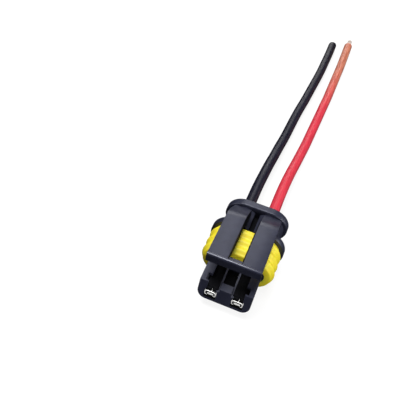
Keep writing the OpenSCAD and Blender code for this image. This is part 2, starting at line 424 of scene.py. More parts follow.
class Sheet:
    """One material's node tree, built round a Principled shader."""

    def __init__(self, name: str) -> None:
        """Starts a material with that name."""
        self.material = bpy.data.materials.new(name)
        self.material.use_nodes = True
        self.tree = self.material.node_tree
        self.tree.nodes.clear()
        self.shader = self.add("BsdfPrincipled")
        self.add("OutputMaterial", Surface=self.shader.outputs["BSDF"])
        self.place = self.add("TexCoord").outputs["Object"]

    def add(self, kind: str, **inputs: Setting) -> bpy.types.Node:
        """Adds a node, feeds its inputs and returns it."""
        node = self.tree.nodes.new(f"ShaderNode{kind}")
        self.feed(node, **inputs)
        return node

    def feed(self, node: bpy.types.Node, **inputs: Setting) -> None:
        """Gives a node's inputs their values.

        Args:
            node: The node.
            **inputs: A value or another node's output for each input. Underscores stand for blanks.
        """
        for name, value in inputs.items():
            socket = node.inputs[name.replace("_", " ")]
            if isinstance(value, Socket):
                self.tree.links.new(value, socket)
            else:
                socket.default_value = value

    def give(self, **inputs: Setting) -> None:
        """Feeds the shader."""
        self.feed(self.shader, **inputs)

    def noise(self, grain_mm: float, detail: float = 3, along: float = 1) -> Socket:
        """Adds a noise pattern.

        Args:
            grain_mm: Size of the pattern's grains.
            detail: How many finer layers it has.
            along: How many times longer the grains are along the plug.

        Returns:
            The pattern's value, from 0 to 1.
        """
        drawn = self.add("Mapping", Vector=self.place, Scale=(1, 1 / along, 1)).outputs["Vector"]
        noise = self.add("TexNoise", Vector=drawn, Scale=1 / (grain_mm * MM), Detail=detail)
        return noise.outputs["Fac"]

    def station(self, start_m: float, end_m: float) -> Socket:
        """Adds a value that rises from 0 to 1 along the frame's +Y.

        Args:
            start_m: Where it starts to rise.
            end_m: Where it reaches 1.

        Returns:
            The value.
        """
        along = self.add("SeparateXYZ", Vector=self.place).outputs["Y"]
        span = self.add("MapRange", Value=along, From_Min=start_m, From_Max=end_m)
        span.interpolation_type = "SMOOTHSTEP"
        return span.outputs["Result"]

    def tones(self, value: Socket, low: Colour, high: Colour) -> Socket:
        """Adds a ramp between two colours.

        Args:
            value: The pattern that drives it.
            low: Colour at the low end.
            high: Colour at the high end.

        Returns:
            The colour.
        """
        ramp = self.add("ValToRGB", Fac=value)
        for stop, place, colour in zip(ramp.color_ramp.elements, NOISE_ENDS, (low, high)):
            stop.position = place
            stop.color = (*colour, 1)
        return ramp.outputs["Color"]

    def mix(self, value: Socket, low: Socket, high: Socket) -> Socket:
        """Mixes two colours by a value and returns the mixed colour."""
        mix = self.add("Mix")
        mix.data_type = "RGBA"
        self.feed(mix, Factor=value, A=low, B=high)
        return next(out for out in mix.outputs if out.type == "RGBA")

    def roughness(self, value: Socket, ends: Span) -> None:
        """Makes the roughness follow a pattern, between two values."""
        least, most = NOISE_ENDS
        span = self.add(
            "MapRange", Value=value, From_Min=least, From_Max=most, To_Min=ends[0], To_Max=ends[1]
        )
        self.give(Roughness=span.outputs["Result"])

    def relief(self, *layers: tuple[Socket, float]) -> None:
        """Adds bumps, each a pattern and its height in millimetres, one on the other."""
        below = {}
        for value, height_mm in layers:
            bump = self.add("Bump", Strength=1, Distance=height_mm * MM, Height=value, **below)
            below = {"Normal": bump.outputs["Normal"]}
        self.give(**below)


@dataclass(frozen=True)
class MouldedPlastic:
    """Black glass-filled plastic with a fine spark-eroded skin."""

    name: str = "black_moulded_plastic"
    dark: Colour = (0.017, 0.018, 0.032)
    light: Colour = (0.025, 0.027, 0.046)
    blotch_mm: float = 2.2
    blotch_height_mm: float = 0.01
    grain_mm: float = 0.16
    grain_height_mm: float = 0.006
    roughness: Span = (0.30, 0.42)
    shine: float = 0.5
    shine_tint: Colour = (0.86, 0.88, 1.0)

    def make(self) -> Material:
        """Builds the material and returns it."""
        sheet = Sheet(self.name)
        blotches = sheet.noise(self.blotch_mm)
        grain = sheet.noise(self.grain_mm, detail=2)
        colour = sheet.tones(sheet.noise(self.blotch_mm, detail=5), self.dark, self.light)
        sheet.roughness(grain, self.roughness)
        sheet.relief((blotches, self.blotch_height_mm), (grain, self.grain_height_mm))
        tint = (*self.shine_tint, 1)
        sheet.give(Base_Color=colour, Specular_IOR_Level=self.shine, Specular_Tint=tint)
        return sheet.material


@dataclass(frozen=True)
class Silicone:
    """Soft yellow silicone, a little see-through at its ridges."""

    name: str = "yellow_silicone"
    dark: Colour = (0.78, 0.65, 0.018)
    light: Colour = (0.88, 0.76, 0.038)
    blotch_mm: float = 1.8
    blotch_height_mm: float = 0.03
    grain_mm: float = 0.22
    grain_height_mm: float = 0.006
    roughness: Span = (0.48, 0.62)
    see_through: float = 0.08
    see_depth_mm: float = 0.3

    def make(self) -> Material:
        """Builds the material and returns it."""
        sheet = Sheet(self.name)
        blotches = sheet.noise(self.blotch_mm)
        grain = sheet.noise(self.grain_mm)
        colour = sheet.tones(sheet.noise(self.blotch_mm, detail=4), self.dark, self.light)
        sheet.roughness(grain, self.roughness)
        sheet.relief((blotches, self.blotch_height_mm), (grain, self.grain_height_mm))
        sheet.give(Base_Color=colour)
        sheet.give(Subsurface_Weight=self.see_through, Subsurface_Scale=self.see_depth_mm * MM)
        return sheet.material


@dataclass(frozen=True)
class TinPlate:
    """Tin plating on folded strip, with fine rolling marks along it.

    Its glow is a painted reflection: it stands for the pale floor that bright tin would mirror, as the
    studio's floor isn't mirrored.
    """

    name: str = "tin_plate"
    dark: Colour = (0.92, 0.92, 0.89)
    light: Colour = (0.99, 0.99, 0.96)
    metallic: float = 0.25
    # Strength of the glow that paints the floor's reflection
    painted_reflection: float = 0.0
    blotch_mm: float = 0.6
    mark_mm: float = 0.05
    mark_length: float = 25
    mark_height_mm: float = 0.002
    roughness: Span = (0.40, 0.55)

    def make(self) -> Material:
        """Builds the material and returns it."""
        sheet = Sheet(self.name)
        marks = sheet.noise(self.mark_mm, detail=2, along=self.mark_length)
        colour = sheet.tones(sheet.noise(self.blotch_mm, detail=5), self.dark, self.light)
        sheet.roughness(marks, self.roughness)
        sheet.relief((marks, self.mark_height_mm))
        sheet.give(Base_Color=colour, Metallic=self.metallic, Emission_Strength=self.painted_reflection)
        return sheet.material


@dataclass(frozen=True)
class WireJacket:
    """Extruded jacket with drawn streaks, which may fade to another colour at its far end."""

    name: str
    dark: Colour
    light: Colour
    far_dark: Colour
    far_light: Colour
    fade_m: Span = (0.060, 0.095)
    streak_mm: float = 0.35
    streak_length: float = 14
    streak_height_mm: float = 0.012
    blotch_mm: float = 0.5
    grain_mm: float = 0.12
    grain_height_mm: float = 0.004
    roughness: Span = (0.36, 0.52)
    shine: float = 0.38

    def make(self) -> Material:
        """Builds the material and returns it."""
        sheet = Sheet(self.name)
        streaks = sheet.noise(self.streak_mm, along=self.streak_length)
        near = sheet.tones(streaks, self.dark, self.light)
        far = sheet.tones(streaks, self.far_dark, self.far_light)
        grain = sheet.noise(self.grain_mm)
        sheet.roughness(sheet.noise(self.blotch_mm, detail=4), self.roughness)
        sheet.relief((streaks, self.streak_height_mm), (grain, self.grain_height_mm))
        colour = sheet.mix(sheet.station(*self.fade_m), near, far)
        sheet.give(Base_Color=colour, Specular_IOR_Level=self.shine)
        return sheet.material


@dataclass(frozen=True)
class Copper:
    """Bright copper of freshly cut strands."""

    name: str = "cut_copper"
    dark: Colour = (0.60, 0.25, 0.12)
    light: Colour = (0.86, 0.42, 0.24)
    blotch_mm: float = 0.2
    grain_mm: float = 0.08
    roughness: Span = (0.28, 0.45)

    def make(self) -> Material:
        """Builds the material and returns it."""
        sheet = Sheet(self.name)
        colour = sheet.tones(sheet.noise(self.blotch_mm, detail=4), self.dark, self.light)
        sheet.roughness(sheet.noise(self.grain_mm), self.roughness)
        sheet.give(Base_Color=colour, Metallic=1)
        return sheet.material


# Pieces


def give_finish(obj: Object, material: Material, test: PairTest) -> None:
    """Adds a finish to a mesh for the faces whose centre and normal pass a test."""
    obj.data.materials.append(material)
    pick_faces(obj, test)
    obj.active_material_index = len(obj.data.materials) - 1
    bpy.ops.object.material_slot_assign()
    leave_edit()


def dress(
    obj: Object, material: Material | None, nodes: Sequence[str], smooth_deg: float = 35
) -> None:
    """Gives a settled piece its finish, shades it smooth and hides the solids that it stands for.

    Args:
        obj: The piece.
        material: Its finish, or None if it has its finishes already.
        nodes: The CAD nodes that it replaces.
        smooth_deg: Edges that turn by less than this look smooth.
    """
    if material is not None:
        obj.data.materials.clear()
        obj.data.materials.append(material)
    if obj.type == "MESH":
        take_up(obj)
        bpy.ops.object.shade_smooth_by_angle(angle=math.radians(smooth_deg))
    if nodes:
        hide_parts(*nodes)


@dataclass(frozen=True)
class PlugFrame:
    """Where the drawn plug sits in the frame."""

    length: float = 24.5
    axis_height: float = 4.6

    def settle(self, obj: Object) -> None:
        """Takes a piece from the plug's millimetres into the frame's metres."""
        obj.scale = (MM, MM, MM)
        obj.location = (0, -self.length / 2 * MM, self.axis_height * MM)
        apply_place(obj)


@dataclass
class Housing:
    """The moulded housing: nose, seal core, backstop, rear tubes and flange."""

    frame: PlugFrame
    plastic: Material
    # Near-black finish that paints shade in the nose's recesses, in the pit and on the fingers
    painted_shade_plastic: Material
    contact_x: float = 3.0
    # Nose
    nose_front: float = -0.25
    nose_len: float = 7.6
    nose_half_w: float = 5.85
    nose_below: float = 2.35
    rail_top: float = 2.05
    nose_corner: float = 1.9
    # How far the front face leans back at its top
    nose_lean: float = 1.4
    cavity_half_w: float = 1.35
    cavity_floor: float = -1.8
    cavity_top: float = 0.1
    mouth_lip: float = 0.3
    side_wall: float = 1.1
    front_wall: float = 1.5
    inner_wall: float = 0.4
    wall_low: float = 0.2
    ledge_w: float = 0.9
    ledge_t: float = 0.8
    ledge_y: float = 3.3
    key_top: float = 1.1
    key_len: float = 2.7
    finger_half_w: float = 1.33
    finger_tip_half_w: float = 1.05
    finger_t: float = 0.7
    finger_y: float = 0.3
    finger_tip: float = 0.7
    finger_ramp: float = 0.3
    notch_half_w: float = 0.05
    notch_offset: float = 0.2
    notch_len: float = 0.9
    nose_edge: float = 0.1
    # Behind the nose
    core_half_w: float = 6.3
    core_half_h: float = 3.1
    seal_rise: float = 0.8
    backstop_y: float = 15.0
    backstop_half_w: float = 8.6
    backstop_half_h: float = 5.4
    backstop_top: float = 5.656
    backstop_edge: float = 0.25
    latch_half_w: float = 5.85
    window_half_w: float = 1.6
    tube_y: float = 16.5
    tube_r: float = 3.8
    pit_behind: float = 0.4
    pit_floor: float = 1.7
    groove_half_w: float = 0.6
    flange_y: float = 22.55
    flange_half_w: float = 7.6
    flange_half_h: float = 4.6
    flange_edge: float = 0.35
    bore_r: float = 2.7
    bore_y: float = 17.0
    bore_edge: float = 0.2
    # How far a corner of the faceted bore may be off its radius
    bore_slack: float = 0.02
    # Overlap of solids that are joined, and reach of cuts past a face
    lap: float = 0.5

    def nose(self) -> Object:
        """Builds the open nose with its rails, walls and key block, and returns it."""
        back = self.nose_len + 2 * self.lap
        above = self.rail_top + self.lap
        heights = (-self.nose_below, self.rail_top)
        nose = add_block("nose", about(self.nose_half_w), (self.nose_front, back), heights)

        def is_low_corner(a: Vector, b: Vector) -> bool:
            """Tells whether an edge runs along the nose's underside."""
            return max(a.z, b.z) < SAME_PLACE - self.nose_below and abs(a.x - b.x) < SAME_PLACE

        round_edges(nose, is_low_corner, self.nose_corner, steps=10)
        lean = (0, -self.nose_below - self.rail_top, self.nose_lean)
        slice_off(nose, (0, self.nose_front, -self.nose_below), lean)
        key = about(self.contact_x - self.cavity_half_w - self.inner_wall)
        cuts = [
            add_block("key_gap", key, (-self.lap, back + self.lap), (self.key_top, above)),
            add_block("key_well", key, (self.key_len, back - self.lap), (self.cavity_floor, above)),
        ]
        for side in Side:
            cuts += [*self.nose_cuts(side, back, above), self.wall_cut(side, back, above)]
        combine(nose, cuts, Join.CUT)
        combine(nose, [self.ledge(side, back) for side in Side], Join.ADD)
        clean(nose)
        return nose

    def nose_cuts(self, side: Side, back: float, above: float) -> list[Object]:
        """Makes the solids that are cut out of the nose at one contact.

        Args:
            side: The contact's side.
            back: Station of the nose's hidden rear end.
            above: A height over the rails.

        Returns:
            The well behind the front wall, the mouth, and the slot over the mouth.
        """
        x = side.value * self.contact_x
        inner = side.value * (self.contact_x - self.cavity_half_w)
        outer = side.value * (self.nose_half_w - self.side_wall)
        slot = about(self.cavity_half_w - self.mouth_lip, x)
        behind = (self.front_wall, back - self.lap)
        through = (-self.lap, self.front_wall + self.lap)
        full = (self.cavity_floor, above)
        low = (self.cavity_floor, self.cavity_top)
        return [
            add_block("well", (inner, outer), behind, full),
            add_block("mouth", about(self.cavity_half_w, x), through, low),
            add_block("slot", slot, through, full),
        ]

    def wall_cut(self, side: Side, back: float, above: float) -> Object:
        """Makes the wedge that leaves an inner wall rising to the rear, and returns it."""
        outer = self.contact_x - self.cavity_half_w
        x = (side.value * (outer - self.inner_wall), side.value * (outer + self.lap))
        y = (-self.lap, back + self.lap)
        cut = add_block("wall_cut", x, y, (self.key_top + self.lap, above))
        fall = self.wall_low - self.key_top - self.lap
        move_points(cut, lambda co: co.y < self.front_wall and co.z < above - SAME_PLACE, z=fall)
        return cut

    def ledge(self, side: Side, back: float) -> Object:
        """Makes the inward ledge at the rear of one rail and returns it."""
        inner = self.nose_half_w - self.side_wall - self.ledge_w
        x = (side.value * inner, side.value * (self.nose_half_w - self.side_wall / 2))
        return add_block("ledge", x, (self.ledge_y, back), (self.rail_top - self.ledge_t, self.rail_top))

    def finger(self, side: Side) -> Object:
        """Makes the locking finger over one contact, notched at its front, and returns it."""
        x = side.value * self.contact_x
        low, top = self.cavity_top, self.cavity_top + self.finger_t
        finger = add_block(
            f"locking_finger_{side.word}",
            about(self.finger_half_w, x),
            (self.finger_y + self.finger_tip, self.nose_len + self.lap),
            (low, top),
        )
        tip = add_block(
            "finger_tip",
            about(self.finger_tip_half_w, x),
            (self.finger_y, self.finger_y + 2 * self.finger_tip),
            (low, top - self.nose_edge),
        )
        front = self.finger_y + SAME_PLACE
        move_points(tip, lambda co: co.y < front and co.z > low + SAME_PLACE, y=self.finger_ramp)
        combine(finger, [tip], Join.ADD)
        notch = add_block(
            "notch",
            about(self.notch_half_w, x + self.notch_offset),
            (self.finger_y - self.lap, self.finger_y + self.notch_len),
            (self.cavity_floor, self.rail_top),
        )
        combine(finger, [notch], Join.CUT)
        clean(finger)
        soften(finger, self.nose_edge / 2)
        self.frame.settle(finger)
        # The finger is painted near-black, as shade in the wells
        dress(finger, self.painted_shade_plastic, ["housing"])
        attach(finger, Body.HOUSING.value)
        return finger

    def backstop(self) -> Object:
        """Builds the backstop, lowered under the latch's arms, and returns it."""
        span = (self.backstop_y, self.tube_y)
        cut = (self.backstop_y - self.lap, self.tube_y + self.lap)
        top = self.seal_rise + self.backstop_half_h + self.lap
        half_w, half_h = self.backstop_half_w, self.backstop_half_h
        backstop = add_oval("backstop", half_w, half_h, span, self.seal_rise)
        pocket = add_block("pocket", about(self.latch_half_w), cut, (self.backstop_top, top))
        gap = add_block("gap", about(self.window_half_w), cut, (self.tube_r, top))
        combine(backstop, [pocket, gap], Join.CUT)
        clean(backstop)
        soften(backstop, self.backstop_edge, steps=3)
        return backstop

    def flange(self) -> Object:
        """Builds the rear flange with its round rim and returns it."""
        span = (self.flange_y, self.frame.length)
        flange = add_oval("flange", self.flange_half_w, self.flange_half_h, span)
        round_edges(flange, lambda a, b: abs(a.y - b.y) < SAME_PLACE, self.flange_edge, steps=5)
        return flange

    def rods(self, name: str, radius: float, span: Span) -> list[Object]:
        """Adds a rod in line with each contact and returns the two."""
        return [add_rod(name, radius, side.value * self.contact_x, span) for side in Side]

    def build(self) -> list[Object]:
        """Builds and dresses the housing.

        Returns:
            The housing and its two locking fingers.
        """
        joint = self.backstop_y + self.lap
        core = (self.nose_len, joint)
        housing = add_oval("plug_housing", self.core_half_w, self.core_half_h, core, self.seal_rise)
        tubes = self.rods("tube", self.tube_r, (joint, self.flange_y + self.lap))
        combine(housing, [self.nose(), self.backstop(), self.flange(), *tubes], Join.ADD)
        bores = self.rods("bore", self.bore_r, (self.bore_y, self.frame.length + self.lap))
        depth = (self.pit_floor, self.tube_r + self.lap)
        pit_y = (self.backstop_y, self.tube_y + self.pit_behind)
        pit = add_block("pit", about(self.window_half_w), pit_y, depth)
        groove = add_block("groove", about(self.groove_half_w), (joint, self.flange_y), depth)
        combine(housing, [*bores, pit, groove], Join.CUT)
        clean(housing)
        round_edges(housing, self.is_bore_mouth, self.bore_edge, steps=3)
        # Blender clamps this rounding to no width here, so it only softens the edges' shading
        soften_where(housing, lambda co: co.y < self.nose_len - self.nose_edge, self.nose_edge)
        give_finish(housing, self.plastic, everywhere)
        # Painted shade: near-black on the mouths, the low parts of the wells and the pit
        give_finish(housing, self.painted_shade_plastic, self.gets_painted_shade)
        self.frame.settle(housing)
        dress(housing, None, ["housing"])
        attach(housing, Body.HOUSING.value)
        return [housing, *(self.finger(side) for side in Side)]

    def gets_painted_shade(self, centre: Vector, normal: Vector) -> bool:
        """Tells whether a face gets painted shade: it is in a mouth, low in the nose's wells or in the
        pit behind the seal.
        """
        x, y, z = abs(centre.x), centre.y, centre.z
        over_floor = self.cavity_floor - SAME_PLACE < z
        in_mouth = abs(x - self.contact_x) < self.cavity_half_w + SAME_PLACE and z < self.cavity_top
        if in_mouth and over_floor and normal.y > -LEANING:
            return True
        wall_x = self.contact_x - self.cavity_half_w - self.inner_wall / 2
        if abs(x - wall_x) < self.inner_wall / 2 and normal.z > LEANING:
            return False
        pit_end = self.tube_y + self.pit_behind + SAME_PLACE
        pit_half_w = self.window_half_w if y < pit_end else self.groove_half_w
        if x < pit_half_w + SAME_PLACE and self.backstop_y < y < self.flange_y - SAME_PLACE:
            return self.pit_floor - SAME_PLACE < z < self.tube_r
        inside = x < self.nose_half_w - self.side_wall and self.front_wall < y < self.nose_len
        return inside and over_floor and z < self.key_top - 2 * self.nose_edge

    def is_bore_mouth(self, a: Vector, b: Vector) -> bool:
        """Tells whether an edge is on the mouth of a rear bore."""

        def on_mouth(co: Vector) -> bool:
            """Tells whether a point is on the mouth of a rear bore."""
            off_bore = abs(math.hypot(abs(co.x) - self.contact_x, co.z) - self.bore_r)
            return abs(co.y - self.frame.length) < SAME_PLACE and off_bore < self.bore_slack

        return on_mouth(a) and on_mouth(b)


@dataclass
class Latch:
    """The latch: two bent arms on the tubes, and a front bar with a round lip."""

    frame: PlugFrame
    plastic: Material
    polished: Material
    # Near-black finish that paints shade on the arms' sides
    painted_shade_sides: Material
    half_w: float = 5.85
    window_half_w: float = 1.6
    window_draft: float = 0.3
    thickness: float = 1.1
    front_y: float = 2.4
    bar_t: float = 1.9
    bar_under: float = 7.0
    lip_rise: float = 0.25
    lip_r: float = 0.45
    # Part of the lip's radius that is rounded, so that its two roundings don't meet
    lip_round: float = 0.98
    slope_deg: float = 4.0
    bend_y: float = 16.0
    bend_z: float = 7.48
    bend_r: float = 7.0
    bend_steps: int = 12
    root_y: float = 22.55
    root_z: float = 2.95
    root_steps: int = 8
    # Rounded outer shoulders of the roots
    shoulder_y: float = 19.0
    shoulder_r: float = 0.8
    shoulder_steps: int = 9
    # Front of the roots on the tubes, and their depth
    foot_y: float = 20.1
    foot_z: float = 1.5
    edge: float = 0.14
    lap: float = 0.3
    # The stretch where the arms flex, along the plug
    flex_start_y: float = 21.6
    flex_end_y: float = 18.6

    def slope(self) -> float:
        """Returns the fall of the arms, in radians."""
        return math.radians(self.slope_deg)

    def root_slope(self) -> float:
        """Returns the fall of the arms behind their bend, in radians."""
        return math.atan2(self.bend_z - self.root_z, self.root_y - self.bend_y)

    def arm_z(self, y: float) -> float:
        """Returns the height of the arms' middle in front of their bend."""
        return self.bend_z + (self.bend_y - y) * math.tan(self.slope())

    def root_top(self, y: float) -> float:
        """Returns the height of the arms' top behind their bend."""
        lift = self.thickness / 2 / math.cos(self.root_slope())
        return self.root_z + (self.root_y - y) * math.tan(self.root_slope()) + lift

    @staticmethod
    def heading(fall: float) -> Vector:
        """Returns the rearward direction of an arm that falls by an angle."""
        return Vector((0, math.cos(fall), -math.sin(fall)))

    @staticmethod
    def outward(fall: float) -> Vector:
        """Returns the upward normal of an arm that falls by an angle."""
        return Vector((0, math.sin(fall), math.cos(fall)))

    def arm(self) -> Object:
        """Builds the right-hand arm from the bar to the flange and returns it."""
        turn = self.root_slope() - self.slope()
        reach = self.bend_r * math.tan(turn / 2)
        start_y = self.front_y + self.lap
        straight = (self.bend_y - start_y) / math.cos(self.slope()) - reach
        x = (self.window_half_w, self.half_w)
        arm = add_block("plug_latch", x, (0, straight), about(self.thickness / 2))
        outer = self.half_w - self.lap
        move_points(arm, lambda co: co.z < 0 and co.x < outer, x=-self.window_draft)
        arm.rotation_euler = (-self.slope(), 0, 0)
        arm.location = (0, start_y, self.arm_z(start_y))
        apply_place(arm)
        bend_start = Vector((0, self.bend_y, self.bend_z)) - reach * self.heading(self.slope())
        centre = bend_start - self.bend_r * self.outward(self.slope())
        pick_faces(arm, lambda middle, normal: normal.y > FACING)
        part = turn / self.bend_steps
        for _ in range(self.bend_steps):
            extrude(0, 0, 0)
            bpy.ops.transform.rotate(value=part, orient_axis="X", center_override=centre)
        bend_end = centre + self.bend_r * self.outward(self.root_slope())
        run = (self.root_y + self.lap - bend_end.y) / math.cos(self.root_slope())
        step = self.heading(self.root_slope()) * run / self.root_steps
        for _ in range(self.root_steps):
            extrude(*step)
        leave_edit()
        clean(arm)
        return arm

    def round_shoulder(self, arm: Object) -> None:
        """Rounds the arm's outer top edge, the more the nearer the flange."""
        tip = Vector((self.half_w, self.shoulder_y, self.root_top(self.shoulder_y)))
        low = self.root_top(self.root_y) - self.shoulder_r
        for i in range(self.shoulder_steps):
            turn = math.pi / 2 * (i + 0.5) / self.shoulder_steps
            reach = Vector((math.sin(turn), 0, math.cos(turn))) * self.shoulder_r
            touch = Vector((self.half_w - self.shoulder_r, self.root_y, low)) + reach
            along = Vector((math.cos(turn), 0, -math.sin(turn)))
            slice_off(arm, tip, along.cross(touch - tip))

    def root(self) -> Object:
        """Builds the right-hand arm's root on its tube and returns it."""
        x = (self.window_half_w, self.half_w)
        y = (self.foot_y, self.root_y + self.lap)
        root = add_block("root", x, y, (self.foot_z, self.bend_z))
        slice_off(root, (0, self.root_y, self.root_z), self.outward(self.root_slope()))
        return root

    def bar(self) -> Object:
        """Builds the front bar with its lip and returns it."""
        lip_top = self.arm_z(self.front_y) + self.thickness / 2 + self.lip_rise
        lip_y = (self.front_y, self.front_y + 2 * self.lip_r)
        bar = add_block("bar", about(self.half_w), lip_y, (self.bar_under, lip_top))

        def is_lip(a: Vector, b: Vector) -> bool:
            """Tells whether an edge runs across the latch on top of the lip."""
            return min(a.z, b.z) > lip_top - SAME_PLACE and abs(a.y - b.y) < SAME_PLACE

        round_edges(bar, is_lip, self.lip_r * self.lip_round, steps=7)
        rear_y = self.front_y + self.bar_t
        sill_y = (self.front_y + self.lip_r, rear_y)
        sill = add_block("sill", about(self.half_w), sill_y, (self.bar_under, self.arm_z(rear_y)))
        combine(bar, [sill], Join.ADD)
        return bar

    def build(self) -> list[Object]:
        """Builds and dresses the latch.

        Returns:
            The latch.
        """
        latch = self.arm()
        combine(latch, [self.root()], Join.ADD)
        clean(latch)
        self.round_shoulder(latch)
        mirror(latch)
        combine(latch, [self.bar()], Join.ADD)
        clean(latch)
        soften(latch, self.edge, steps=3)
        self.give_finishes(latch)
        self.frame.settle(latch)
        dress(latch, None, ["latch"])
        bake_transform(latch)
        return [latch]

    def give_finishes(self, latch: Object) -> None:
        """Gives the lip and the arms' sides finishes of their own; the sides' near-black finish is
        painted shade.
        """
        lip_end = self.front_y + 2 * self.lip_r
        lip_low = self.arm_z(self.front_y)
        rear_y = self.front_y + self.bar_t

        def is_lip(centre: Vector, normal: Vector) -> bool:
            """Tells whether a face is on the lip."""
            return centre.y < lip_end and centre.z > lip_low

        def is_arm_side(centre: Vector, normal: Vector) -> bool:
            """Tells whether a face is on the side of an arm."""
            return centre.y > rear_y and abs(normal.x) > FACING

        give_finish(latch, self.plastic, everywhere)
        give_finish(latch, self.polished, is_lip)
        # Painted shade: the arms' sides are near-black
        give_finish(latch, self.painted_shade_sides, is_arm_side)


@dataclass
class RibbedRing:
    """A ring of silicone with round ridges on its outside; pulled apart, it is an oval."""

    name: str
    outer_r: float
    inner_r: float
    ridge: float
    length: float
    ridges: int = 3
    spread: float = 0
    sides: int = 96
    steps_per_ridge: int = 14
    edge: float = 0.18

    def outline(self) -> list[Span]:
        """Returns stations and radii of the section, from the inner front edge to the inner rear edge."""
        base = self.outer_r - self.ridge
        steps = self.ridges * self.steps_per_ridge
        outside = []
        for i in range(steps + 1):
            share = i / steps
            swell = math.sin(math.pi * self.ridges * share) ** 2
            station = self.edge + share * (self.length - 2 * self.edge)
            outside.append((station, base + self.ridge * swell))
        front, rear = ([(y, self.inner_r), (y, base - self.edge)] for y in (0, self.length))
        return [*front, *outside, *reversed(rear)]

    def build(self, x: float, y: float, z: float) -> Object:
        """Builds the ring as one lathed wall.

        Args:
            x: Side position of its axis.
            y: Station of its front face.
            z: Height of its axis.

        Returns:
            The ring.
        """
        outline = self.outline()
        ring = add_disc(self.name, self.inner_r, (0, y, 0), self.sides, filled=False)
        pick_edges(ring, everywhere)
        for (from_y, from_r), (to_y, to_r) in zip(outline, outline[1:] + outline[:1]):
            extrude(0, to_y - from_y, 0)
            share = to_r / from_r
            bpy.ops.transform.resize(value=(share, 1, share), center_override=(0, y + to_y, 0))
        leave_edit()
        if self.spread:
            pull_apart(ring, self.spread)
        ring.location = (x, 0, z)
        apply_place(ring)
        clean(ring)
        return ring


@dataclass
class Seals:
    """The seal round the nose's core, and the seals round the wires."""

    frame: PlugFrame
    silicone: Material
    interface_y: float = 7.6
    interface_rise: float = 0.8
    contact_x: float = 3.0
    wire_seal_len: float = 5.4
    wire_seal_recess: float = 1.0

    def build(self) -> list[Object]:
        """Builds and dresses the seals.

        Returns:
            The interface seal and the two wire seals.
        """
        ring = RibbedRing("ridged_seal", outer_r=5.1, inner_r=3.12, ridge=0.55, length=7.4, spread=3.2)
        pieces = [(ring.build(0, self.interface_y, self.interface_rise), "interface_seal")]
        start = self.frame.length - self.wire_seal_recess - self.wire_seal_len
        for side in Side:
            ring = RibbedRing(
                f"wire_grommet_{side.word}",
                outer_r=2.68,
                inner_r=1.37,
                ridge=0.35,
                length=self.wire_seal_len,
                sides=48,
                steps_per_ridge=8,
                edge=0.12,
            )
            grommet = ring.build(side.value * self.contact_x, start, 0)
            pieces.append((grommet, f"wire_seal_{side.word}"))
        for piece, node in pieces:
            self.frame.settle(piece)
            dress(piece, self.silicone, [node], smooth_deg=50)
            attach(piece, Body.HOUSING.value)
        return [piece for piece, _ in pieces]


